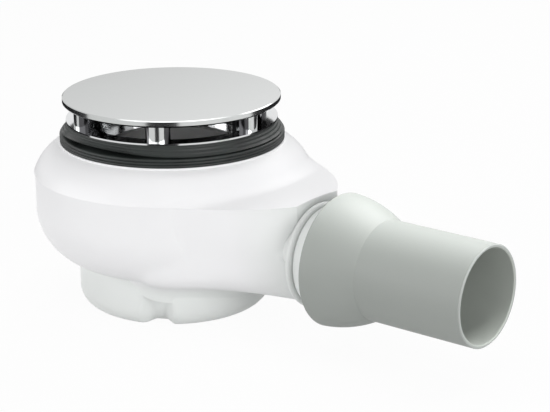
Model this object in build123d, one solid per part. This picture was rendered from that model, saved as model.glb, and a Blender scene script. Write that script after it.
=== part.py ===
from build123d import *
from math import acos, asin, copysign, cos, degrees, hypot, radians, sin, sqrt
import os

# Shower trap for a 90 mm tray hole, standing on its cup, with a swivelling 50 mm outlet.
# Frame: origin on the drain axis at the underside of the cup, +X along the outlet, +Z up.

# Heights above the foot, mm
outlet_z = 43.0
seam_z = 71.4
seat_z = 87.0
weir_z = 62.0
water_seal = 50.0

# Moulded body, mm
wall = 2.6
seam_step = 0.4
body_r = 71.6
dome_turn_r = 25.5
neck_r = 57.9
neck_lip = 1.0
bowl_side_h = 18.4
bowl_turn_r = 29.3

# Nose that runs out from the body to the outlet, mm: at each station its half width at the weld seam,
# its half width (belly) and depth (keel) about the outlet's axis, and the rise of its crown over the seam
nose_root_x = 8.0
nose_root_bury = 3.9
nose_root_belly = 46.0
nose_root_keel = 20.5
nose_root_rise = 14.0
nose_wide_x = 43.0
nose_wide_half = 56.0
nose_wide_belly = 53.5
nose_wide_keel = 21.5
nose_wide_rise = 10.0
nose_mid_x = 66.0
nose_mid_half = 43.5
nose_mid_belly = 39.0
nose_mid_keel = 24.0
nose_mid_rise = 4.4
nose_turn_x = 86.0
nose_turn_half = 27.0
nose_turn_belly = 28.0
nose_turn_rise = 2.0
nose_end_x = 93.5
nose_end_half = 16.5
nose_end_rise = 0.8
nose_crown_least = 0.2
nose_blend_r = 12.0
outlet_neck_r = 24.8

# How square the nose's keel is: 2 is an ellipse, more is squarer
root_square = 3.4
wide_square = 3.4
mid_square = 2.2
end_square = 2.0
keel_points = 9

# Cup below the bowl, mm
cup_base_r = 48.8
cup_r = 50.0
cup_edge_r = 9.0
flute_count = 3
flute_first_deg = 60.0
flute_r = 9.0
flute_depth = 5.5
flute_edge_r = 2.5

# Collar, ball, socket and pipe of the outlet, mm
collar_r = 26.5
collar_length = 3.6
groove_r = 24.2
groove_length = 0.9
ball_r = 29.5
ball_reach = 20.1
ball_tip = 9.0
ball_thin_wall = 1.7
ring_width = 4.0
ring_height = 2.2
ring_gap = 0.2
running_gap = 0.3
socket_mouth_r = 33.4
socket_swell = 1.7
mouth_reach = 6.2
mouth_round = 0.8
shoulder_reach = 20.6
pipe_r = 25.0
pipe_wall = 1.8
pipe_reach = 79.4
pipe_edge = 0.5

# Clamp that holds the tray between its two seals, mm
tray_hole_r = 45.0
spigot_gap = 1.0
spigot_depth = 6.5
flange_rim_r = 54.4
flange_rim_t = 0.8
flange_wall = 1.5
flange_floor_t = 2.0
dish_edge_r = 46.0
dish_fall = 4.4
lower_seal_t = 4.4
upper_seal_t = 6.3
upper_seal_r = 57.0
upper_seal_bevel = 1.2
upper_seal_hollow = 0.5
seal_rim_inset = 0.3
rib_count = 3
rib_depth = 0.5
clamp_travel = 2.0
collar_gap = 0.6

# Clamp screws and their inserts, mm
screw_count = 4
screw_r = 2.5
screw_length = 16.0
screw_gap = 0.25
head_r = 4.0
head_h = 3.0
head_round = 0.8
socket_r = 1.6
socket_depth = 1.6
insert_r = 3.1
insert_length = 8.0
insert_bore_gap = 0.05
post_wall = 1.1

# Dip tube, mm
tube_r = 27.5
tube_wall = 2.0
tube_top_r = 31.2
tube_gap = 0.3
tube_collar_r = 33.2
tube_collar_t = 1.8
tube_cone_h = 5.0
sleeve_h = 8.5
oring_r = 1.2
oring_gap = 0.05

# Cover, mm
cover_r = 56.0
cover_t = 3.4
cover_bevel = 0.9
cover_edge = 0.4
cover_gap = 8.4
leg_count = 6
leg_first_deg = 3.0
leg_width = 13.0
leg_depth = 5.0
fin_width = 2.5
fin_depth = 2.7
fin_gap = 0.3
fin_reach = 7.4

# Places worked out from the sizes above
bowl_turn_z = seam_z - bowl_side_h
bowl_turn_x = body_r - bowl_turn_r
bowl_foot_z = bowl_turn_z - sqrt((bowl_turn_r - seam_step) ** 2 - (cup_r - bowl_turn_x) ** 2)
cup_lean = (cup_r - cup_base_r) / bowl_foot_z
nose_root_half = sqrt(body_r**2 - nose_root_x**2) - nose_root_bury
groove_x = nose_end_x + collar_length
ball_start_x = groove_x + groove_length
ball_x = nose_end_x + ball_reach
pipe_end_x = ball_x + pipe_reach
ring_floor_r = ball_r - ring_height
ring_face_r = ball_r + ring_gap
socket_inner_r = ring_face_r + running_gap
lower_seal_top_z = seat_z + lower_seal_t
flange_under_z = lower_seal_top_z + upper_seal_t
flange_top_z = flange_under_z + flange_rim_t
flange_floor_z = seat_z - spigot_depth
flange_seat_z = flange_floor_z + flange_floor_t
spigot_r = tray_hole_r - spigot_gap
spigot_bore_r = spigot_r - flange_wall
sleeve_bore_r = tube_top_r + tube_gap
sleeve_r = sleeve_bore_r + flange_wall
screw_pcd_r = (sleeve_r + spigot_bore_r) / 2
collar_bore_r = spigot_r + collar_gap
floor_top_z = flange_floor_z - clamp_travel
floor_z = floor_top_z - wall
insert_z = floor_top_z - insert_length
screw_tip_z = flange_seat_z - screw_length
tube_end_z = weir_z - water_seal
oring_z = flange_seat_z - sleeve_h / 2
oring_centre_r = sleeve_bore_r - oring_r - oring_gap
cover_z = flange_top_z + cover_gap
leg_r = (dish_edge_r + flange_rim_r) / 2
on_base = (Align.CENTER, Align.CENTER, Align.MIN)
outlet_frame = Pos(0, 0, outlet_z) * Rot(0, 90, 0)


def turned(outline):
    """Turn a closed (r, z) outline round the drain axis."""
    return revolve(make_face(Plane.XZ * outline), Axis.Z)


def rod(radius, low_z, high_z):
    """An upright cylinder on the drain axis between two heights."""
    return Pos(0, 0, low_z) * Cylinder(radius, high_z - low_z, align=on_base)


def slab(low_z, high_z):
    """A block that takes in the whole body between two heights."""
    return Pos(0, 0, low_z) * Box(4 * body_r, 4 * body_r, high_z - low_z, align=on_base)


def sphere_r(radius, along):
    """Radius of a sphere's section at a distance from its centre."""
    return sqrt(radius**2 - along**2)


def screw_places():
    """Where the clamp screws stand, midway between the main directions."""
    return PolarLocations(screw_pcd_r, screw_count, 180 / screw_count)


def dome(inset):
    """The dome between the weld seam and the seat, drawn inwards by an inset."""
    seam_point = (body_r, seam_z)
    neck_point = (neck_r, seat_z - neck_lip)
    chord = (neck_point[0] - seam_point[0], neck_point[1] - seam_point[1])
    half = hypot(*chord) / 2
    drop = sqrt(dome_turn_r**2 - half**2) / (2 * half)
    centre_r = (seam_point[0] + neck_point[0]) / 2 - drop * chord[1]
    centre_z = (seam_point[1] + neck_point[1]) / 2 + drop * chord[0]
    radius = dome_turn_r - inset
    edge_r = neck_r - inset
    start = asin((seam_z - centre_z) / radius)
    end = acos((edge_r - centre_r) / radius)
    seam_r = centre_r + radius * cos(start)
    arc = CenterArc((centre_r, centre_z), radius, degrees(start), degrees(end - start))
    top_z = seat_z - inset
    lines = Polyline(arc @ 1, (edge_r, top_z), (0, top_z), (0, seam_z), (seam_r, seam_z))
    return turned(arc + lines)


def bowl(inset):
    """The bowl from the weld seam down to the cup, drawn inwards by an inset."""
    radius = bowl_turn_r - inset
    end = acos((cup_r - bowl_turn_x) / radius)
    arc = CenterArc((bowl_turn_x, bowl_turn_z), radius, 0, -degrees(end))
    foot_z = bowl_turn_z - radius * sin(end)
    side_r = body_r - inset
    lines = Polyline(arc @ 1, (0, foot_z), (0, seam_z), (side_r, seam_z), (side_r, bowl_turn_z))
    return turned(arc + lines)


def bulge(share, square):
    """A sine or cosine drawn out towards its ends, so that an ellipse turns squarer."""
    return copysign(abs(share) ** (2 / square), share)


def nose_section(x, half, belly, keel, rise, square, inset):
    """A cross-section of the nose: a keel under the weld seam and a crowned top above it."""
    turns = [radians(180 * i / (keel_points - 1)) for i in range(keel_points)]
    hull = [
        ((belly - inset) * bulge(cos(turn), square), outlet_z - (keel - inset) * bulge(sin(turn), square))
        for turn in turns
    ]
    edge = half - inset
    under = Spline((edge, seam_z), *hull, (-edge, seam_z), tangents=((0, -1), (0, 1)))
    crown_z = seam_z + max(rise - inset, nose_crown_least)
    crown = ThreePointArc((edge, seam_z), (0, crown_z), (-edge, seam_z))
    return Plane.YZ.offset(x) * make_face(under + crown)


def nose(inset, end_x, low_z, high_z):
    """The nose between two heights, drawn inwards by an inset."""
    stations = [
        (nose_root_x, nose_root_half, nose_root_belly, nose_root_keel, nose_root_rise, root_square),
        (nose_wide_x, nose_wide_half, nose_wide_belly, nose_wide_keel, nose_wide_rise, wide_square),
        (nose_mid_x, nose_mid_half, nose_mid_belly, nose_mid_keel, nose_mid_rise, mid_square),
        (nose_turn_x, nose_turn_half, nose_turn_belly, outlet_neck_r, nose_turn_rise, end_square),
        (end_x, nose_end_half, outlet_neck_r, outlet_neck_r, nose_end_rise, end_square),
    ]
    return loft([nose_section(*station, inset) for station in stations]) & slab(low_z, high_z)


def blended(body, spout):
    """The body joined to the nose, with a wide hollow blend along the join."""
    joined = body + spout
    return fillet(new_edges(body, spout, combined=joined), nose_blend_r)


def flutes(extra):
    """Flutes down the cup's side, leaning with its draft."""
    centre_r = cup_base_r - flute_depth + flute_r
    start = Plane((centre_r - cup_lean * bowl_foot_z, 0, -bowl_foot_z), z_dir=(cup_lean, 0, 1))
    pillar = Solid.make_cylinder(flute_r + extra, 3 * bowl_foot_z, start)
    pillar &= slab(-bowl_foot_z, bowl_foot_z + extra)
    return [Rot(0, 0, flute_first_deg + i * 360 / flute_count) * pillar for i in range(flute_count)]


def cup(inset, low_z, high_z):
    """The drafted cup, carried on upwards as a plain cylinder."""
    base_r = cup_base_r + cup_lean * low_z - inset
    top_r = cup_r - inset
    outline = [(0, low_z), (base_r, low_z), (top_r, bowl_foot_z), (top_r, high_z), (0, high_z)]
    solid = turned(Polyline(*outline, close=True))
    return fillet(solid.edges().group_by(Axis.Z)[0], cup_edge_r - inset)


def upper_shell():
    """The dome with the nose's shoulder, the seat of the lower seal and the clamp's collar."""
    outside = blended(dome(0), nose(0, nose_end_x, seam_z, seat_z))
    hollow = dome(wall) + nose(wall, nose_end_x - wall, seam_z, seat_z)
    shell = outside - hollow + rod(collar_bore_r + wall, floor_z, seat_z)
    shell -= rod(collar_bore_r, floor_top_z, seat_z)
    shell -= rod(sleeve_r + collar_gap, floor_z, seat_z)
    for place in screw_places():
        shell += place * rod(insert_r + post_wall, screw_tip_z - wall, floor_top_z)
        shell -= place * rod(insert_r, insert_z, floor_top_z)
        shell -= place * rod(screw_r + screw_gap, screw_tip_z - screw_gap, floor_top_z)
    return shell


def ball_point(along):
    """The (r, x) point of the ball's face at a distance from its centre."""
    return (sphere_r(ball_r, along), ball_x + along)


def ball_arc(start, end):
    """The ball's outline between two distances from its centre."""
    return ThreePointArc(ball_point(start), ball_point((start + end) / 2), ball_point(end))


def outlet_ball():
    """Collar, groove and hollow ball that the outlet swivels on, with the slot of its ring."""
    neck_bore_r = outlet_neck_r - seam_step - wall
    ball_bore_r = ring_floor_r - ball_thin_wall
    cone_x = ball_start_x + ball_thin_wall
    half = ring_width / 2
    bead_x = (nose_end_x + groove_x) / 2
    bead = ThreePointArc((outlet_neck_r, nose_end_x), (collar_r, bead_x), (outlet_neck_r, groove_x))
    near = ball_arc(ball_start_x - ball_x, -half)
    far = ball_arc(half, ball_tip)
    outline = near + far
    outline += Polyline(near @ 1, (ring_floor_r, ball_x - half), (ring_floor_r, ball_x + half), far @ 0)
    outline += Polyline(
        far @ 1,
        (ball_bore_r, ball_x + ball_tip),
        (ball_bore_r, cone_x + ball_bore_r - neck_bore_r),
        (neck_bore_r, cone_x),
        (neck_bore_r, nose_end_x),
        bead @ 0,
    )
    outline += Polyline(bead @ 1, (groove_r, groove_x), (groove_r, ball_start_x), near @ 0)
    return outlet_frame * turned(outline + bead)


def trap_cup():
    """The fluted cup under the dip tube, whose rim is the weir that keeps the water seal."""
    plain = cup(0, 0, weir_z)
    cutters = flutes(0)
    outside = plain - cutters
    outside = fillet(new_edges(plain, *cutters, combined=outside), flute_edge_r)
    return outside - (cup(wall, wall, weir_z) - flutes(wall))


def lower_shell():
    """The bowl round the cup, with the nose that leads to the outlet."""
    inset = seam_step + wall
    plug = cup(0, 0, seam_z)
    outside = blended(bowl(seam_step) + plug, nose(seam_step, nose_end_x, 0, seam_z))
    chamber = bowl(inset) + nose(inset, nose_end_x - wall, 0, seam_z)
    neck = outlet_frame * rod(outlet_neck_r - 2 * seam_step, nose_turn_x, nose_end_x)
    bore = outlet_frame * rod(outlet_neck_r - wall, nose_mid_x, nose_end_x)
    return outside + neck - chamber - plug - bore


def outlet_seal():
    """Rubber ring in the ball's groove, its face part of a sphere about the ball's centre."""
    half = ring_width / 2 - ring_gap
    inner_r = ring_floor_r + ring_gap
    edge_r = sphere_r(ring_face_r, half)
    face = ThreePointArc((edge_r, ball_x - half), (ring_face_r, ball_x), (edge_r, ball_x + half))
    back = Polyline(face @ 1, (inner_r, ball_x + half), (inner_r, ball_x - half), face @ 0)
    return outlet_frame * turned(face + back)


def outlet_pipe():
    """The grey pipe with the socket that snaps over the ball."""
    bore_r = pipe_r - pipe_wall
    mouth_x = ball_x - mouth_reach
    throat_x = ball_x + sphere_r(socket_inner_r, bore_r)
    mouth_outer = (socket_mouth_r, mouth_x)
    mouth_inner = (sphere_r(socket_inner_r, mouth_reach), mouth_x)
    outside = SagittaArc((pipe_r, ball_x + shoulder_reach), mouth_outer, socket_swell)
    inside = ThreePointArc((bore_r, throat_x), (socket_inner_r, ball_x), mouth_inner)
    end = Polyline(outside @ 0, (pipe_r, pipe_end_x), (bore_r, pipe_end_x), inside @ 0)
    pipe = outlet_frame * turned(outside + end + inside + Line(mouth_inner, mouth_outer))
    by_x = pipe.edges().group_by(Axis.X)
    pipe = chamfer(by_x[-1], pipe_edge)
    return fillet(pipe.edges().group_by(Axis.X)[0], mouth_round)


def flange():
    """The dish that clamps the tray, with its spigot and the sleeve of the dip tube."""
    sleeve_z = flange_seat_z - sleeve_h
    outline = [
        (flange_rim_r, flange_under_z),
        (flange_rim_r, flange_top_z),
        (dish_edge_r, flange_top_z),
        (spigot_bore_r, flange_top_z - dish_fall),
        (spigot_bore_r, flange_seat_z),
        (sleeve_bore_r, flange_seat_z),
        (sleeve_bore_r, sleeve_z),
        (sleeve_r, sleeve_z),
        (sleeve_r, flange_floor_z),
        (spigot_r, flange_floor_z),
        (spigot_r, flange_under_z),
    ]
    dish = turned(Polyline(*outline, close=True))
    for place in screw_places():
        dish -= place * rod(screw_r + screw_gap, flange_floor_z, flange_seat_z)
    return dish


def clamp_screws():
    """Pan-head screws that pull the flange towards the body."""
    head = fillet(rod(head_r, flange_seat_z, flange_seat_z + head_h).edges().group_by(Axis.Z)[-1], head_round)
    drive = extrude(RegularPolygon(socket_r, 6), socket_depth)
    head -= Pos(0, 0, flange_seat_z + head_h - socket_depth) * drive
    screw = head + rod(screw_r, screw_tip_z, flange_seat_z)
    return Compound([place * screw for place in screw_places()])


def screw_inserts():
    """Brass inserts in the screw posts."""
    insert = rod(insert_r, insert_z, floor_top_z) - rod(screw_r + insert_bore_gap, insert_z, floor_top_z)
    return Compound([place * insert for place in screw_places()])


def lower_seal():
    """Ribbed ring between the body's seat and the tray."""
    pitch = lower_seal_t / rib_count
    edge = [(neck_r - rib_depth, seat_z)]
    for i in range(rib_count):
        edge += [(neck_r, seat_z + (i + 0.5) * pitch), (neck_r - rib_depth, seat_z + (i + 1) * pitch)]
    return turned(Polyline((tray_hole_r, seat_z), *edge, (tray_hole_r, lower_seal_top_z), close=True))


def upper_seal():
    """Flared ring between the tray and the flange's rim."""
    lip = (upper_seal_r, lower_seal_top_z + upper_seal_bevel)
    flare = SagittaArc(lip, (flange_rim_r - seal_rim_inset, flange_under_z), upper_seal_hollow)
    back = Polyline(
        flare @ 1,
        (tray_hole_r, flange_under_z),
        (tray_hole_r, lower_seal_top_z),
        (upper_seal_r - upper_seal_bevel, lower_seal_top_z),
        lip,
    )
    return turned(flare + back)


def dip_tube():
    """Tube that hangs in the flange and dips into the water in the cup."""
    bore_r = tube_r - tube_wall
    sleeve_z = flange_seat_z - sleeve_h
    floor_r = oring_centre_r - oring_r - oring_gap
    slot = oring_r + oring_gap
    top_z = flange_seat_z + tube_collar_t
    outline = [
        (tube_r, tube_end_z),
        (tube_r, sleeve_z - tube_cone_h),
        (tube_top_r, sleeve_z),
        (tube_top_r, oring_z - slot),
        (floor_r, oring_z - slot),
        (floor_r, oring_z + slot),
        (tube_top_r, oring_z + slot),
        (tube_top_r, flange_seat_z),
        (tube_collar_r, flange_seat_z),
        (tube_collar_r, top_z),
        (floor_r, top_z),
        (bore_r, sleeve_z),
        (bore_r, tube_end_z),
    ]
    return turned(Polyline(*outline, close=True))


def dip_tube_seal():
    """O-ring round the dip tube."""
    return Pos(0, 0, oring_z) * Torus(oring_centre_r, oring_r)


def cover():
    """Disc on six legs that rests on the flange, with fins that centre it in the dish."""
    rim_z = cover_z + cover_t
    outline = [
        (0, cover_z),
        (cover_r - cover_bevel, cover_z),
        (cover_r, cover_z + cover_bevel),
        (cover_r, rim_z - cover_edge),
        (cover_r - cover_edge, rim_z),
        (0, rim_z),
    ]
    root_z = cover_z + cover_t / 2
    leg_face = Pos((leg_depth - leg_width) / 2, 0) * Circle(leg_width / 2)
    leg_outline = leg_face & Rectangle(leg_depth, leg_width)
    leg = Pos(0, 0, flange_top_z) * extrude(leg_outline, root_z - flange_top_z)
    fin_r = spigot_bore_r - fin_gap
    fin_outline = Polyline(
        (fin_r - fin_depth, root_z),
        (fin_r - fin_depth, flange_top_z - fin_reach),
        (fin_r, flange_top_z - fin_reach),
        (fin_r, flange_top_z + fin_gap),
        (leg_r, flange_top_z + fin_gap),
        (leg_r, root_z),
        close=True,
    )
    fin = extrude(make_face(Plane.XZ * fin_outline), fin_width / 2, both=True)
    foot = Pos(leg_r, 0, 0) * leg + fin
    pitch = 360 / leg_count
    disc = Rot(0, 0, leg_first_deg + pitch / 2) * turned(Polyline(*outline, close=True))
    return disc + [Rot(0, 0, leg_first_deg + turn * pitch) * foot for turn in range(leg_count)]


pieces = [
    cover,
    flange,
    clamp_screws,
    screw_inserts,
    upper_seal,
    lower_seal,
    dip_tube,
    dip_tube_seal,
    upper_shell,
    lower_shell,
    trap_cup,
    outlet_ball,
    outlet_seal,
    outlet_pipe,
]

os.makedirs("parts", exist_ok=True)
for piece in pieces:
    export_step(piece(), f"parts/{piece.__name__}.step")
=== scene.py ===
import math

import bpy
from mathutils import Matrix, Vector


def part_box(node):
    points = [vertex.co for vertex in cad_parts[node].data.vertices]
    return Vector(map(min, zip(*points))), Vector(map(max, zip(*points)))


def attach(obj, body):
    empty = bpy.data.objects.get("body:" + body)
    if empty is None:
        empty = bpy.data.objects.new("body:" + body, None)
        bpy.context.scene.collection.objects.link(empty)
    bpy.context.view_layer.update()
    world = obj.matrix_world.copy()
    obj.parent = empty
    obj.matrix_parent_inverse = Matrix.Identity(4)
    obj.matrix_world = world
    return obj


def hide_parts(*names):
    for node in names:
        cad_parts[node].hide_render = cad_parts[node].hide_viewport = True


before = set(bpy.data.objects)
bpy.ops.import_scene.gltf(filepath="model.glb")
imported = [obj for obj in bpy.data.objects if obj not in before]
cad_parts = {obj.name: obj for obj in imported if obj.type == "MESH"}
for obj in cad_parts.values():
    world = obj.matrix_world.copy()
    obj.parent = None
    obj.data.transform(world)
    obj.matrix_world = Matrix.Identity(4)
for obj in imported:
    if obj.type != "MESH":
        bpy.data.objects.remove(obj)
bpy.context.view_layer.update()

bl_info = {
    "name": "Shower trap",
    "version": (1, 0, 0),
    "blender": (4, 5, 0),
    "location": "View3D > Sidebar > Shower trap",
    "description": "Finishes the packed shower trap and sets up its studio",
    "category": "Object",
}

PHOTO_W = 550
SENSOR_MM = 36.0
CLIP_START = 0.05

# Each softbox: name, place, width, depth and watts.
SOFTBOXES = (
    ("front_left_softbox", (0.079, -1.352, 0.412), 1.2, 0.6, 3.4),
    ("front_right_softbox", (1.349, -0.342, 0.412), 1.2, 0.6, 12.2),
    ("overhead_softbox", (0.04, 0.0, 1.35), 1.2, 1.2, 7.2),
    ("back_softbox", (0.009, 1.072, 0.95), 1.2, 0.7, 6.6),
    ("left_softbox", (-0.869, -0.885, 0.30), 1.0, 0.8, 7.9),
)
OUTLET_SOFTBOX = ("outlet_softbox", (0.22, 0.62, 1.10), 1.0, 0.8, 22.5)
SOFTBOX_AIM = (0.04, 0, 0.05)

FLOOR_HALF = 4.0
FLOOR_PAPER = (0.80, 0.80, 0.80)
FLOOR_ROUGHNESS = 0.9
FLOOR_SHINE = 0.1
FLOOR_GLOW = 0.95

# The dark card: its spans in degrees from the camera's right, its inner and outer reach and its height.
CARD_SPANS = ((0, 180), (-112, -81))
CARD_REACH = (0.3, 3.0)
CARD_HEIGHT = 0.001
CARD_STEPS = 48
CARD_FELT = (0.012, 0.012, 0.013)
CARD_ROUGHNESS = 0.95
CARD_SHINE = 0.05

# Each noise: grains per metre and octaves.
PLASTIC_CLOUD = (30, 3)
PLASTIC_GRAIN = (1400, 2)
METAL_SMEAR = (25, 2)
RUBBER_DUST = (90, 5)
RUBBER_GRAIN = (1800, 2)
FLOOR_MOTTLE = (12, 3)
CARD_MOTTLE = (40, 3)
NOISE_LOW = 0.3
NOISE_HIGH = 0.7

# How much the noise shifts a colour either way, as a share of it.
WHITE_TINT = 0.008
PIPE_TINT = 0.006
TUBE_TINT = 0.01
METAL_TINT = 0.008
RUBBER_TINT = 0.55
FLOOR_TINT = 0.01
CARD_TINT = 0.2

# Each relief: depth and strength.
PLASTIC_RELIEF = (0.0001, 0.12)
RUBBER_RELIEF = (0.00015, 0.25)

EVEN = (1, 1, 1)
ALONG_PIPE = (0.25, 1, 1)
PLASTIC_GLOSS_SPREAD = 0.01
METAL_GLOSS_SPREAD = 0.05
WHITE_IOR = 1.49
PIPE_IOR = 1.55
RUBBER_IOR = 1.4
TUBE_ROUGHNESS = 0.45
COVER_ROUGHNESS = 0.16
FLANGE_ROUGHNESS = 0.10
RUBBER_ROUGHNESS = (0.34, 0.60)
SCREW_STEEL = ((0.55, 0.55, 0.56), 0.28)
INSERT_BRASS = ((0.66, 0.48, 0.20), 0.30)

# Limits on how far a surface looks outward or up: no painted shade on the cover above the first two; in the
# bore, which gets painted light, below the last.
UNSHADED_OUTWARD = 0.86
UNSHADED_UP = 0.3
BORE_OUTWARD = -0.5
CUT_FADE = 0.002

SHARP_ANGLE = math.radians(50)
CUP_STEPS = 360
FLUTE_STEPS = 16
FOOT_STEPS = 8
SEAL_STEPS = 240
FOLD_STEPS = 10
RIB_STEPS = 8
RIB_ROUND = 0.6
FOLD_LEAST = 0.35

# The upper seal's lip, outwards: distance inside its edge, share of its lift, height above that.
LIP_OUTLINE = (
    (0.0085, 0.0, 0.0),
    (0.0070, 0.6, 0.0),
    (0.0040, 0.9, 0.0),
    (0.0010, 1.0, 0.0),
    (0.0003, 1.0, 0.0003),
    (0.0, 1.0, 0.0009),
)
# The upper seal's top edge: how far inside the flange's rim it ends, where its flare ends, and its round.
RIM_INSET = 0.0004
FLARE_END = 0.0005
RIM_ROUND = ((0.0002, 0.0001), (0.0007, 0.0))


class TrapFinish(bpy.types.PropertyGroup):
    """Colours and finishes of the trap's materials."""

    body_white: bpy.props.FloatVectorProperty(
        name="Body white",
        description="Colour of the moulded body",
        subtype="COLOR",
        default=(0.80, 0.80, 0.81),
    )
    # Darker, greener white of the cup; the bowl's painted shade also fades into it.
    cup_white_and_bowl_shade: bpy.props.FloatVectorProperty(
        name="Cup white",
        description="Colour of the cup",
        subtype="COLOR",
        default=(0.712, 0.732, 0.72),
    )
    # Painted shade: the bowl darkens into the cup's colour towards its foot and towards the end of its
    # nose.
    foot_shade_bottom: bpy.props.FloatProperty(
        name="Cup white below",
        description="Height under which the bowl has the cup's colour",
        unit="LENGTH",
        default=0.0185,
    )
    foot_shade_top: bpy.props.FloatProperty(
        name="Body white above",
        description="Height over which the bowl has the body's colour",
        unit="LENGTH",
        default=0.027,
    )
    nose_shade_start: bpy.props.FloatProperty(
        name="Body white before",
        description="Reach up to which the nose has the body's colour",
        unit="LENGTH",
        default=0.070,
    )
    nose_shade_end: bpy.props.FloatProperty(
        name="Cup white beyond",
        description="Reach beyond which the nose has the cup's colour",
        unit="LENGTH",
        default=0.095,
    )
    body_gloss: bpy.props.FloatProperty(
        name="Body roughness",
        description="Roughness of the moulded body",
        subtype="FACTOR",
        default=0.42,
    )
    pipe_grey: bpy.props.FloatVectorProperty(
        name="Pipe grey",
        description="Colour of the outlet pipe",
        subtype="COLOR",
        default=(0.274, 0.292, 0.275),
    )
    pipe_gloss: bpy.props.FloatProperty(
        name="Pipe roughness",
        description="Roughness of the outlet pipe",
        subtype="FACTOR",
        default=0.56,
    )
    # Painted highlight: a lighter grey on the pipe's cut end.
    pipe_cut_highlight: bpy.props.FloatVectorProperty(
        name="Cut end",
        description="Colour of the pipe's cut end",
        subtype="COLOR",
        default=(0.33, 0.35, 0.335),
    )
    # Painted light: a lighter grey inside the pipe.
    pipe_bore_painted_light: bpy.props.FloatVectorProperty(
        name="Pipe bore",
        description="Colour inside the pipe",
        subtype="COLOR",
        default=(0.385, 0.41, 0.38),
    )
    cut_from: bpy.props.FloatProperty(
        name="Cut from",
        description="Share of the pipe's length where its cut end begins",
        subtype="FACTOR",
        default=0.995,
    )
    cover_metal: bpy.props.FloatVectorProperty(
        name="Cover metal",
        description="Colour of the polished cover",
        subtype="COLOR",
        default=(0.445, 0.457, 0.453),
    )
    # Painted highlight: the cover grows lighter along its X towards its outlet side.
    cover_painted_highlight: bpy.props.FloatVectorProperty(
        name="Cover glow",
        description="Colour of the cover on its outlet side",
        subtype="COLOR",
        default=(0.63, 0.645, 0.64),
    )
    # Painted shade: near black on the cover's underside and inner walls.
    cover_painted_shade: bpy.props.FloatVectorProperty(
        name="Cover underside",
        description="Colour of the cover's unpolished parts",
        subtype="COLOR",
        default=(0.08, 0.08, 0.084),
    )
    flange_metal: bpy.props.FloatVectorProperty(
        name="Flange metal",
        description="Colour of the plated flange",
        subtype="COLOR",
        default=(0.70, 0.71, 0.715),
    )
    rubber_black: bpy.props.FloatVectorProperty(
        name="Rubber",
        description="Colour of the seals",
        subtype="COLOR",
        default=(0.012, 0.015, 0.014),
    )
    tube_white: bpy.props.FloatVectorProperty(
        name="Dip tube",
        description="Colour of the dip tube",
        subtype="COLOR",
        default=(0.62, 0.63, 0.63),
    )


class TrapCup(bpy.types.PropertyGroup):
    """Shape of the fluted cup that the trap stands on."""

    base_r: bpy.props.FloatProperty(
        name="Base",
        description="Radius of the cup at its foot",
        unit="LENGTH",
        default=0.0488,
    )
    edge_r: bpy.props.FloatProperty(
        name="Foot round",
        description="Radius of the cup's foot edge",
        unit="LENGTH",
        default=0.0075,
    )
    lean_height: bpy.props.FloatProperty(
        name="Drafted height",
        description="Height over which the cup widens",
        unit="LENGTH",
        default=0.0085,
    )
    wall: bpy.props.FloatProperty(
        name="Wall",
        description="Thickness of the cup",
        unit="LENGTH",
        default=0.0026,
    )
    flute_count: bpy.props.IntProperty(
        name="Flutes",
        description="Flutes round the cup",
        default=3,
    )
    flute_first: bpy.props.FloatProperty(
        name="First flute",
        description="Where round the drain the first flute is",
        subtype="ANGLE",
        default=math.radians(60),
    )
    flute_floor: bpy.props.FloatProperty(
        name="Flute floor",
        description="From a flute's middle to the edge of its floor",
        subtype="ANGLE",
        default=math.radians(3.5),
    )
    flute_spread: bpy.props.FloatProperty(
        name="Flute half width",
        description="From a flute's middle to its edge",
        subtype="ANGLE",
        default=math.radians(11.5),
    )
    flute_depth: bpy.props.FloatProperty(
        name="Flute depth",
        description="Depth of a flute at the cup's foot",
        unit="LENGTH",
        default=0.0075,
    )
    flute_height: bpy.props.FloatProperty(
        name="Flute height",
        description="Height at which the flutes have died out",
        unit="LENGTH",
        default=0.025,
    )


class TrapSeals(bpy.types.PropertyGroup):
    """Shape of the two rubber seals that grip the tray."""

    lip_lift: bpy.props.FloatProperty(
        name="Lip lift",
        description="How far the upper seal's lip stands off",
        unit="LENGTH",
        default=0.0024,
    )
    lift_turn: bpy.props.FloatProperty(
        name="Lift at",
        description="Where round the drain the lip stands off",
        subtype="ANGLE",
        default=math.radians(268),
    )
    lift_spread: bpy.props.FloatProperty(
        name="Lift spread",
        description="How far round the lift dies out",
        subtype="ANGLE",
        default=math.radians(56),
    )
    rib_count: bpy.props.IntProperty(
        name="Ribs",
        description="Ribs on the lower seal",
        default=3,
    )
    rib_depth: bpy.props.FloatProperty(
        name="Rib depth",
        description="Depth of the grooves between the ribs",
        unit="LENGTH",
        default=0.0005,
    )
    fold_count: bpy.props.IntProperty(
        name="Folds",
        description="Folds in the upper seal's flare",
        default=3,
    )
    fold_depth: bpy.props.FloatProperty(
        name="Fold depth",
        description="Depth of the folds in the flare",
        unit="LENGTH",
        default=0.0005,
    )
    hole: bpy.props.FloatProperty(
        name="Hole",
        description="Radius of the hole in both seals",
        unit="LENGTH",
        default=0.045,
    )
    hollow: bpy.props.FloatProperty(
        name="Hollow",
        description="How hollow the upper seal's flare is",
        unit="LENGTH",
        default=0.0005,
    )


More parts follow.
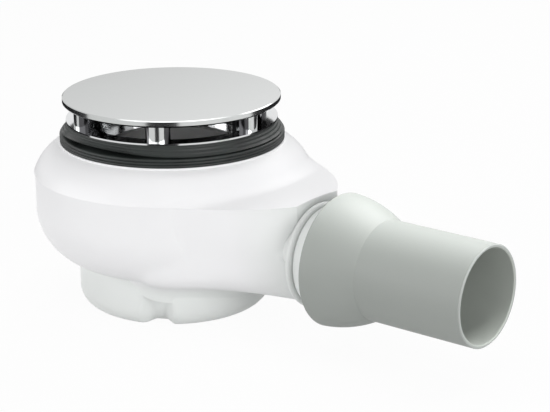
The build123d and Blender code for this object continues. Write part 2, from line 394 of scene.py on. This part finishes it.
class TrapStudio(bpy.types.PropertyGroup):
    """Camera and light of the studio."""

    azimuth: bpy.props.FloatProperty(
        name="Azimuth",
        description="Turn of the camera round the drain",
        subtype="ANGLE",
        default=math.radians(38.503),
    )
    elevation: bpy.props.FloatProperty(
        name="Elevation",
        description="Height of the camera",
        subtype="ANGLE",
        default=math.radians(17.872),
    )
    roll: bpy.props.FloatProperty(
        name="Roll",
        description="Lean of the camera",
        subtype="ANGLE",
        default=math.radians(-0.377),
    )
    distance: bpy.props.FloatProperty(
        name="Distance",
        description="From the camera to the aim",
        unit="LENGTH",
        default=0.982894,
    )
    aim_side: bpy.props.FloatProperty(
        name="Aim to the side",
        description="How far the aim lies right of the drain",
        unit="LENGTH",
        default=0.052648,
    )
    aim_height: bpy.props.FloatProperty(
        name="Aim height",
        description="Height of the aim over the floor",
        unit="LENGTH",
        default=0.049,
    )
    focal_px: bpy.props.FloatProperty(
        name="Focal length",
        description="Focal length in photograph pixels",
        default=1881.63,
    )
    ambient: bpy.props.FloatProperty(
        name="Ambient",
        description="Strength of the light all round",
        default=0.12,
    )
    exposure: bpy.props.FloatProperty(
        name="Exposure",
        description="Factor on the power of all softboxes",
        default=1.03,
    )


def new_material(name):
    """A new node material, its node tree and its shader."""
    material = bpy.data.materials.new(name)
    material.use_nodes = True
    shader = material.node_tree.nodes["Principled BSDF"]
    return material, material.node_tree, shader


def calculate(tree, kind, operation, *values):
    """The outputs of a maths node whose inputs are other nodes' outputs or constants."""
    node = tree.nodes.new(kind)
    node.operation = operation
    for value, socket in zip(values, node.inputs):
        if isinstance(value, bpy.types.NodeSocket):
            tree.links.new(value, socket)
        else:
            socket.default_value = value
    return node.outputs


def place_texture(tree, stretch):
    """Coordinates in the object's own frame, stretched along its axes."""
    coordinates = tree.nodes.new("ShaderNodeTexCoord")
    mapping = tree.nodes.new("ShaderNodeMapping")
    mapping.inputs["Scale"].default_value = stretch
    tree.links.new(coordinates.outputs["Object"], mapping.inputs["Vector"])
    return mapping.outputs["Vector"]


def noise(tree, where, scale, detail):
    """A noise field at a number of grains per metre."""
    node = tree.nodes.new("ShaderNodeTexNoise")
    node.inputs["Scale"].default_value = scale
    node.inputs["Detail"].default_value = detail
    tree.links.new(where, node.inputs["Vector"])
    return node.outputs["Fac"]


def tint(tree, field, colour, spread, socket):
    """Let a field shift a colour a little darker and lighter."""
    ramp = tree.nodes.new("ShaderNodeValToRGB")
    dark, light = ramp.color_ramp.elements
    dark.position = NOISE_LOW
    light.position = NOISE_HIGH
    dark.color = [value * (1 - spread) for value in colour] + [1]
    light.color = [min(1, value * (1 + spread)) for value in colour] + [1]
    tree.links.new(field, ramp.inputs["Fac"])
    tree.links.new(ramp.outputs["Color"], socket)


def vary(tree, field, low, high, socket):
    """Let a field move a value between two limits."""
    span = tree.nodes.new("ShaderNodeMapRange")
    span.inputs["From Min"].default_value = NOISE_LOW
    span.inputs["From Max"].default_value = NOISE_HIGH
    span.inputs["To Min"].default_value = low
    span.inputs["To Max"].default_value = high
    tree.links.new(field, span.inputs["Value"])
    tree.links.new(span.outputs["Result"], socket)


def relief(tree, field, depth, strength, shader):
    """Give the surface a fine relief from a field."""
    bump = tree.nodes.new("ShaderNodeBump")
    bump.inputs["Strength"].default_value = strength
    bump.inputs["Distance"].default_value = depth
    tree.links.new(field, bump.inputs["Height"])
    tree.links.new(bump.outputs["Normal"], shader.inputs["Normal"])


def moulded_plastic(name, colour, roughness, stretch=EVEN, spread=WHITE_TINT, ior=WHITE_IOR):
    """Satin moulded plastic with a fine grain."""
    material, tree, shader = new_material(name)
    where = place_texture(tree, stretch)
    cloud = noise(tree, where, *PLASTIC_CLOUD)
    grain = noise(tree, where, *PLASTIC_GRAIN)
    smoothest = roughness - PLASTIC_GLOSS_SPREAD
    roughest = roughness + PLASTIC_GLOSS_SPREAD
    tint(tree, cloud, colour, spread, shader.inputs["Base Color"])
    vary(tree, cloud, smoothest, roughest, shader.inputs["Roughness"])
    relief(tree, grain, *PLASTIC_RELIEF, shader)
    shader.inputs["IOR"].default_value = ior
    return material


def polished_metal(name, colour, roughness):
    """Polished metal with faint smears."""
    material, tree, shader = new_material(name)
    smear = noise(tree, place_texture(tree, EVEN), *METAL_SMEAR)
    smoothest = roughness * (1 - METAL_GLOSS_SPREAD)
    roughest = roughness * (1 + METAL_GLOSS_SPREAD)
    tint(tree, smear, colour, METAL_TINT, shader.inputs["Base Color"])
    vary(tree, smear, smoothest, roughest, shader.inputs["Roughness"])
    shader.inputs["Metallic"].default_value = 1.0
    return material


def seal_rubber(name, colour):
    """Matt black rubber, a little dusty."""
    material, tree, shader = new_material(name)
    where = place_texture(tree, EVEN)
    dust = noise(tree, where, *RUBBER_DUST)
    grain = noise(tree, where, *RUBBER_GRAIN)
    tint(tree, dust, colour, RUBBER_TINT, shader.inputs["Base Color"])
    vary(tree, dust, *RUBBER_ROUGHNESS, shader.inputs["Roughness"])
    relief(tree, grain, *RUBBER_RELIEF, shader)
    shader.inputs["IOR"].default_value = RUBBER_IOR
    return material


def blend_colour(material, share, colour):
    """Blend a material's colour into another one by a share."""
    tree = material.node_tree
    socket = tree.nodes["Principled BSDF"].inputs["Base Color"]
    mix = tree.nodes.new("ShaderNodeMix")
    mix.data_type = "RGBA"
    tree.links.new(share, mix.inputs["Factor"])
    tree.links.new(socket.links[0].from_socket, mix.inputs["A"])
    mix.inputs["B"].default_value = list(colour) + [1]
    tree.links.new(mix.outputs["Result"], socket)


def fade_along(material, kind, axis, colour, start, end):
    """Let the colour pass into another one between two places on an axis."""
    tree = material.node_tree
    coordinates = tree.nodes.new("ShaderNodeTexCoord")
    split = tree.nodes.new("ShaderNodeSeparateXYZ")
    tree.links.new(coordinates.outputs[kind], split.inputs["Vector"])
    span = tree.nodes.new("ShaderNodeMapRange")
    span.inputs["From Min"].default_value = start
    span.inputs["From Max"].default_value = end
    tree.links.new(split.outputs[axis], span.inputs["Value"])
    blend_colour(material, span.outputs["Result"], colour)


def outward_share(tree, coordinates, across):
    """How far a round piece's surface looks straight away from its axis, from minus one to one."""
    kind = "ShaderNodeVectorMath"
    middle = [-0.5 * part for part in across]
    place = coordinates.outputs["Generated"]
    offset = calculate(tree, kind, "MULTIPLY_ADD", place, across, middle)["Vector"]
    outward = calculate(tree, kind, "NORMALIZE", offset)["Vector"]
    return calculate(tree, kind, "DOT_PRODUCT", outward, coordinates.outputs["Normal"])["Value"]


def paint_bore_light(material, colour):
    """Paint light into the bore of a pipe along X: a lighter colour where the surface faces its axis."""
    tree = material.node_tree
    coordinates = tree.nodes.new("ShaderNodeTexCoord")
    facing = outward_share(tree, coordinates, (0, 1, 1))
    inward = calculate(tree, "ShaderNodeMath", "LESS_THAN", facing, BORE_OUTWARD)["Value"]
    blend_colour(material, inward, colour)


def paint_shade_inside(material, colour):
    """Paint near-black shade on a round piece where it looks neither up nor straight away from its axis."""
    tree = material.node_tree
    kind = "ShaderNodeMath"
    coordinates = tree.nodes.new("ShaderNodeTexCoord")
    facing = outward_share(tree, coordinates, (1, 1, 0))
    split = tree.nodes.new("ShaderNodeSeparateXYZ")
    tree.links.new(coordinates.outputs["Normal"], split.inputs["Vector"])
    inside = calculate(tree, kind, "LESS_THAN", facing, UNSHADED_OUTWARD)["Value"]
    under = calculate(tree, kind, "LESS_THAN", split.outputs["Z"], UNSHADED_UP)["Value"]
    blend_colour(material, calculate(tree, kind, "MULTIPLY", inside, under)["Value"], colour)


def dress(material, *names):
    """Put a material on CAD nodes."""
    for name in names:
        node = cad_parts[name]
        node.data.materials.clear()
        node.data.materials.append(material)


def add_mesh(name, points, faces):
    """A new mesh object in the scene."""
    mesh = bpy.data.meshes.new(name)
    mesh.from_pydata(points, [], faces)
    piece = bpy.data.objects.new(name, mesh)
    bpy.context.scene.collection.objects.link(piece)
    return piece


def smooth(piece):
    """Shade a piece smooth between its sharp edges."""
    piece.data.shade_smooth()
    piece.data.set_sharp_from_angle(angle=SHARP_ANGLE)


def turned(turn, outline):
    """A (radius, height) outline at a turn round the drain axis."""
    return [(r * math.cos(turn), r * math.sin(turn), height) for r, height in outline]


def ring_piece(name, outline_at, steps):
    """A closed ring round the drain axis whose outline may change on its way round."""
    points = []
    for step in range(steps):
        turn = math.tau * step / steps
        points += turned(turn, outline_at(turn))
    count = len(points) // steps
    faces = []
    for step in range(steps):
        near = step * count
        far = (step + 1) % steps * count
        for corner in range(count):
            nxt = (corner + 1) % count
            faces.append((near + corner, far + corner, far + nxt, near + nxt))
    piece = add_mesh(name, points, faces)
    smooth(piece)
    return piece


def cup_piece(name, outline_at, steps):
    """A cup round the drain axis; its outline runs from the middle underneath to that of its floor."""
    points = []
    rows = []
    for step in range(steps):
        turn = math.tau * step / steps
        outline = outline_at(turn)
        rows.append(range(len(points), len(points) + len(outline) - 2))
        points += turned(turn, outline[1:-1])
    under = len(points)
    floor = under + 1
    points += [(0, 0, outline[0][1]), (0, 0, outline[-1][1])]
    faces = []
    for near, far in zip(rows, rows[1:] + rows[:1]):
        faces.append((under, far[0], near[0]))
        faces += [(near[i], far[i], far[i + 1], near[i + 1]) for i in range(len(near) - 1)]
        faces.append((floor, near[-1], far[-1]))
    piece = add_mesh(name, points, faces)
    smooth(piece)
    return piece


class SHOWERTRAP_OT_body(bpy.types.Operator):
    """Finish the moulded body: shells and ball"""

    bl_idname = "showertrap.body"
    bl_label = "Moulded body"

    def execute(self, context):
        finish = context.scene.trap_finish
        white = moulded_plastic("moulded_white", finish.body_white, finish.body_gloss)
        dress(white, "upper_shell")
        # Painted shade: the bowl darkens into the cup's colour towards its foot and towards the end of its
        # nose.
        bowl = moulded_plastic("bowl_white_painted_shade", finish.body_white, finish.body_gloss)
        fade_along(bowl, "Object", "Z", finish.cup_white_and_bowl_shade, finish.foot_shade_top, finish.foot_shade_bottom)
        fade_along(bowl, "Object", "X", finish.cup_white_and_bowl_shade, finish.nose_shade_start, finish.nose_shade_end)
        dress(bowl, "lower_shell", "outlet_ball")
        return {"FINISHED"}


class SHOWERTRAP_OT_cup(bpy.types.Operator):
    """Make the cup with its soft flutes"""

    bl_idname = "showertrap.cup"
    bl_label = "Cup"

    def execute(self, context):
        cup = context.scene.trap_cup
        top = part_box("trap_cup")[1]
        piece = cup_piece("trap_cup_moulded", lambda turn: self.outline(cup, top, turn), CUP_STEPS)
        finish = context.scene.trap_finish
        white = moulded_plastic("cup_white_and_bowl_shade", finish.cup_white_and_bowl_shade, finish.body_gloss)
        dress(white, "trap_cup")
        piece.data.materials.append(white)
        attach(piece, "trap")
        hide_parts("trap_cup")
        return {"FINISHED"}

    def flute(self, cup, turn, height):
        """Depth of the flutes at a turn round the drain and a height."""
        pitch = math.tau / cup.flute_count
        away = abs((turn - cup.flute_first + pitch / 2) % pitch - pitch / 2)
        side = (away - cup.flute_floor) / (cup.flute_spread - cup.flute_floor)
        across = math.cos(math.pi / 2 * min(1, max(0, side))) ** 2
        rise = min(1, height / cup.flute_height)
        return cup.flute_depth * across * (1 - rise * rise * (3 - 2 * rise))

    def outline(self, cup, top, turn):
        """The cup's outline at a turn round the drain, outside first."""

        def outer(height):
            draft = min(1, height / cup.lean_height)
            return cup.base_r + (top.x - cup.base_r) * draft - self.flute(cup, turn, height)

        span = cup.flute_height - cup.edge_r
        heights = [cup.edge_r + span * step / FLUTE_STEPS for step in range(1, FLUTE_STEPS + 1)]
        outline = [(0, 0)]
        outline += self.foot(outer, cup.edge_r, 0)
        outline += [(outer(height), height) for height in heights]
        outline += [(top.x, top.z), (top.x - cup.wall, top.z)]
        outline += [(outer(height) - cup.wall, height) for height in reversed(heights)]
        inside = self.foot(lambda height: outer(height) - cup.wall, cup.edge_r - cup.wall, cup.wall)
        return outline + inside[::-1] + [(0, cup.wall)]

    def foot(self, outer, edge_r, low):
        """The rounded foot from its flat to its wall."""
        points = []
        for step in range(FOOT_STEPS + 1):
            turn = math.pi / 2 * step / FOOT_STEPS
            height = low + edge_r * (1 - math.cos(turn))
            points.append((outer(height) - edge_r * (1 - math.sin(turn)), height))
        return points


class SHOWERTRAP_OT_outlet(bpy.types.Operator):
    """Finish the outlet pipe"""

    bl_idname = "showertrap.outlet"
    bl_label = "Outlet"

    def execute(self, context):
        finish = context.scene.trap_finish
        grey = moulded_plastic(
            "moulded_grey", finish.pipe_grey, finish.pipe_gloss, ALONG_PIPE, PIPE_TINT, PIPE_IOR
        )
        # Painted highlight: the pipe's cut end turns a lighter grey.
        cut = finish.cut_from
        fade_along(grey, "Generated", "X", finish.pipe_cut_highlight, cut, cut + CUT_FADE)
        # Painted light: the bore gets a lighter grey.
        paint_bore_light(grey, finish.pipe_bore_painted_light)
        dress(grey, "outlet_pipe")
        return {"FINISHED"}


class SHOWERTRAP_OT_seals(bpy.types.Operator):
    """Make the two tray seals and finish all the rubber"""

    bl_idname = "showertrap.seals"
    bl_label = "Seals"

    def execute(self, context):
        seals = context.scene.trap_seals
        rubber = seal_rubber("seal_rubber", context.scene.trap_finish.rubber_black)
        dress(rubber, "upper_seal", "lower_seal", "dip_tube_seal", "outlet_seal")
        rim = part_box("flange")[1].x - RIM_INSET
        low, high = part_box("upper_seal")
        ribbed = self.lower_outline(seals, *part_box("lower_seal"))
        upper = ring_piece(
            "upper_seal_rubber", lambda turn: self.upper_outline(seals, low, high, rim, turn), SEAL_STEPS
        )
        lower = ring_piece("lower_seal_rubber", lambda turn: ribbed, SEAL_STEPS)
        for piece, node in ((upper, "upper_seal"), (lower, "lower_seal")):
            piece.data.materials.append(rubber)
            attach(piece, "trap")
            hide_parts(node)
        return {"FINISHED"}

    def upper_outline(self, seals, low, high, rim, turn):
        """The upper seal's outline: lip, folded flare and the round under the flange's rim."""
        away = abs((turn - seals.lift_turn + math.pi) % math.tau - math.pi)
        lift = seals.lip_lift * (1 + math.cos(math.pi * min(1, away / seals.lift_spread))) / 2
        slack = (1 + math.cos(turn - seals.lift_turn + math.pi)) / 2
        depth = seals.fold_depth * (FOLD_LEAST + (1 - FOLD_LEAST) * slack)
        lip = high.x
        outline = [(seals.hole, low.z)]
        outline += [(lip - inset, low.z + share * lift + over) for inset, share, over in LIP_OUTLINE]
        start = outline[-1][1]
        end = high.z - FLARE_END
        steps = FOLD_STEPS * seals.fold_count
        for step in range(1, steps + 1):
            share = step / steps
            fold = depth * math.sin(math.pi * seals.fold_count * share) ** 2
            radius = lip + (rim - lip) * share - 4 * seals.hollow * share * (1 - share) - fold
            outline.append((radius, start + (end - start) * share))
        outline += [(rim - inset, high.z - drop) for inset, drop in RIM_ROUND]
        return outline + [(seals.hole, high.z)]

    def lower_outline(self, seals, low, high):
        """The lower seal's outline with its ribs."""
        outline = [(seals.hole, low.z)]
        steps = RIB_STEPS * seals.rib_count
        for step in range(steps + 1):
            share = step / steps
            swell = abs(math.sin(math.pi * seals.rib_count * share)) ** RIB_ROUND
            radius = high.x - seals.rib_depth * (1 - swell)
            outline.append((radius, low.z + (high.z - low.z) * share))
        return outline + [(seals.hole, high.z)]


class SHOWERTRAP_OT_metal(bpy.types.Operator):
    """Finish the cover, the flange, the clamp screws and their inserts"""

    bl_idname = "showertrap.metal"
    bl_label = "Metal"

    def execute(self, context):
        finish = context.scene.trap_finish
        cover = polished_metal("cover_polish_and_painted_light", finish.cover_metal, COVER_ROUGHNESS)
        # Painted highlight: the cover grows lighter along its X towards the outlet side.
        fade_along(cover, "Generated", "X", finish.cover_painted_highlight, 0.0, 1.0)
        # Painted shade: near black where the cover looks neither up nor outward.
        paint_shade_inside(cover, finish.cover_painted_shade)
        dress(cover, "cover")
        dress(polished_metal("flange_plate", finish.flange_metal, FLANGE_ROUGHNESS), "flange")
        dress(polished_metal("screw_steel", *SCREW_STEEL), "clamp_screws")
        dress(polished_metal("insert_brass", *INSERT_BRASS), "screw_inserts")
        return {"FINISHED"}


class SHOWERTRAP_OT_tube(bpy.types.Operator):
    """Finish the dip tube"""

    bl_idname = "showertrap.tube"
    bl_label = "Dip tube"

    def execute(self, context):
        colour = context.scene.trap_finish.tube_white
        dress(moulded_plastic("tube_plastic", colour, TUBE_ROUGHNESS, spread=TUBE_TINT), "dip_tube")
        return {"FINISHED"}


def seen_white(tree):
    """One for rays from the camera, reflections and glass, nought for all other light."""
    kind = "ShaderNodeMath"
    path = tree.nodes.new("ShaderNodeLightPath").outputs
    seen = calculate(tree, kind, "MAXIMUM", path["Is Camera Ray"], path["Is Glossy Ray"])["Value"]
    return calculate(tree, kind, "MAXIMUM", seen, path["Is Transmission Ray"])["Value"]


def softbox(name, place, width, depth, power):
    """A rectangular softbox that points at the trap."""
    lamp = bpy.data.lights.new(name, "AREA")
    lamp.shape = "RECTANGLE"
    lamp.size = width
    lamp.size_y = depth
    lamp.energy = power
    box = bpy.data.objects.new(name, lamp)
    box.location = place
    box.rotation_euler = (Vector(SOFTBOX_AIM) - Vector(place)).to_track_quat("-Z", "Y").to_euler()
    bpy.context.scene.collection.objects.link(box)
    return box


def matt_sheet(name, mottle, colour, spread, roughness, shine):
    """A matt material for the studio's sheets."""
    material, tree, shader = new_material(name)
    field = noise(tree, place_texture(tree, EVEN), *mottle)
    tint(tree, field, colour, spread, shader.inputs["Base Color"])
    shader.inputs["Roughness"].default_value = roughness
    shader.inputs["Specular IOR Level"].default_value = shine
    return material, tree, shader


class SHOWERTRAP_OT_studio(bpy.types.Operator):
    """Set up floor, light and camera"""

    bl_idname = "showertrap.studio"
    bl_label = "Studio"

    def execute(self, context):
        studio = context.scene.trap_studio
        self.floor()
        self.world(context.scene, studio)
        for *setting, power in SOFTBOXES:
            softbox(*setting, power * studio.exposure)
        *setting, power = OUTLET_SOFTBOX
        self.light_only(softbox(*setting, power * studio.exposure), "outlet_pipe")
        self.dark_floor(studio)
        self.camera(context.scene, studio)
        context.scene.view_settings.view_transform = "Standard"
        return {"FINISHED"}

    def light_only(self, box, name):
        """Let a softbox light one node alone, as a snoot would."""
        lit = bpy.data.collections.new(box.name + "_lit")
        lit.objects.link(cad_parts[name])
        box.light_linking.receiver_collection = lit

    def floor(self):
        """A pale floor that looks nearly white and keeps the trap's shadow."""
        half = FLOOR_HALF
        corners = [(-half, -half, 0), (half, -half, 0), (half, half, 0), (-half, half, 0)]
        floor = add_mesh("studio_floor", corners, [(0, 1, 2, 3)])
        material, tree, shader = matt_sheet(
            "floor_paper", FLOOR_MOTTLE, FLOOR_PAPER, FLOOR_TINT, FLOOR_ROUGHNESS, FLOOR_SHINE
        )
        glow = tree.nodes.new("ShaderNodeEmission")
        glow.inputs["Strength"].default_value = 1.0
        mix = tree.nodes.new("ShaderNodeMixShader")
        share = calculate(tree, "ShaderNodeMath", "MULTIPLY", seen_white(tree), FLOOR_GLOW)
        tree.links.new(share["Value"], mix.inputs["Fac"])
        tree.links.new(shader.outputs["BSDF"], mix.inputs[1])
        tree.links.new(glow.outputs["Emission"], mix.inputs[2])
        tree.links.new(mix.outputs["Shader"], tree.nodes["Material Output"].inputs["Surface"])
        floor.data.materials.append(material)

    def dark_floor(self, studio):
        """A dark half ring behind the trap and a strip before it that only polished metal picks up."""
        points = []
        faces = []
        for start, end in CARD_SPANS:
            first = len(points)
            for step in range(CARD_STEPS + 1):
                turn = studio.azimuth + math.radians(start + (end - start) * step / CARD_STEPS)
                points += turned(turn, [(reach, CARD_HEIGHT) for reach in CARD_REACH])
            for near in range(first, first + 2 * CARD_STEPS, 2):
                faces.append((near, near + 1, near + 3, near + 2))
        card = add_mesh("dark_floor", points, faces)
        material = matt_sheet(
            "dark_felt", CARD_MOTTLE, CARD_FELT, CARD_TINT, CARD_ROUGHNESS, CARD_SHINE
        )[0]
        card.data.materials.append(material)
        card.visible_camera = False
        card.visible_diffuse = False
        card.visible_shadow = False
        card.visible_transmission = False

    def world(self, scene, studio):
        """A white background that lights the trap only a little."""
        world = bpy.data.worlds.new("studio_world")
        scene.world = world
        world.use_nodes = True
        tree = world.node_tree
        lit = tree.nodes["Background"]
        lit.inputs["Color"].default_value = (1, 1, 1, 1)
        lit.inputs["Strength"].default_value = studio.ambient
        white = tree.nodes.new("ShaderNodeBackground")
        white.inputs["Color"].default_value = (1, 1, 1, 1)
        white.inputs["Strength"].default_value = 1.0
        mix = tree.nodes.new("ShaderNodeMixShader")
        tree.links.new(seen_white(tree), mix.inputs["Fac"])
        tree.links.new(lit.outputs["Background"], mix.inputs[1])
        tree.links.new(white.outputs["Background"], mix.inputs[2])
        tree.links.new(mix.outputs["Shader"], tree.nodes["World Output"].inputs["Surface"])

    def camera(self, scene, studio):
        """The camera at the photograph's view."""
        turn = studio.azimuth
        rise = studio.elevation
        level = math.cos(rise)
        back = Vector((math.sin(turn) * level, -math.cos(turn) * level, math.sin(rise)))
        side = Vector((math.cos(turn), math.sin(turn), 0))
        aim = side * studio.aim_side + Vector((0, 0, studio.aim_height))
        lean = Matrix.Rotation(studio.roll, 3, back)
        axes = Matrix((lean @ side, lean @ back.cross(side), back)).transposed()
        lens = bpy.data.cameras.new("photo_camera")
        lens.sensor_width = SENSOR_MM
        lens.lens = studio.focal_px / PHOTO_W * SENSOR_MM
        lens.clip_start = CLIP_START
        camera = bpy.data.objects.new("photo_camera", lens)
        camera.matrix_world = Matrix.Translation(aim + back * studio.distance) @ axes.to_4x4()
        scene.collection.objects.link(camera)
        scene.camera = camera


class SHOWERTRAP_PT_panel(bpy.types.Panel):
    """Lists the trap's pieces and its studio"""

    bl_idname = "SHOWERTRAP_PT_panel"
    bl_label = "Shower trap"
    bl_space_type = "VIEW_3D"
    bl_region_type = "UI"
    bl_category = "Shower trap"

    def draw(self, context):
        for operator in OPERATORS:
            self.layout.operator(operator.bl_idname)
        scene = context.scene
        for group in (scene.trap_finish, scene.trap_cup, scene.trap_seals, scene.trap_studio):
            for name in group.__annotations__:
                self.layout.prop(group, name)


OPERATORS = (
    SHOWERTRAP_OT_body,
    SHOWERTRAP_OT_cup,
    SHOWERTRAP_OT_outlet,
    SHOWERTRAP_OT_seals,
    SHOWERTRAP_OT_metal,
    SHOWERTRAP_OT_tube,
    SHOWERTRAP_OT_studio,
)
CLASSES = (TrapFinish, TrapCup, TrapSeals, TrapStudio) + OPERATORS + (SHOWERTRAP_PT_panel,)


def register():
    for cls in CLASSES:
        bpy.utils.register_class(cls)
    bpy.types.Scene.trap_finish = bpy.props.PointerProperty(type=TrapFinish)
    bpy.types.Scene.trap_cup = bpy.props.PointerProperty(type=TrapCup)
    bpy.types.Scene.trap_seals = bpy.props.PointerProperty(type=TrapSeals)
    bpy.types.Scene.trap_studio = bpy.props.PointerProperty(type=TrapStudio)


def unregister():
    del bpy.types.Scene.trap_studio
    del bpy.types.Scene.trap_seals
    del bpy.types.Scene.trap_cup
    del bpy.types.Scene.trap_finish
    for cls in reversed(CLASSES):
        bpy.utils.unregister_class(cls)


def main():
    register()
    bpy.ops.showertrap.body()
    bpy.ops.showertrap.cup()
    bpy.ops.showertrap.outlet()
    bpy.ops.showertrap.seals()
    bpy.ops.showertrap.metal()
    bpy.ops.showertrap.tube()
    bpy.ops.showertrap.studio()


if __name__ == "__main__":
    main()
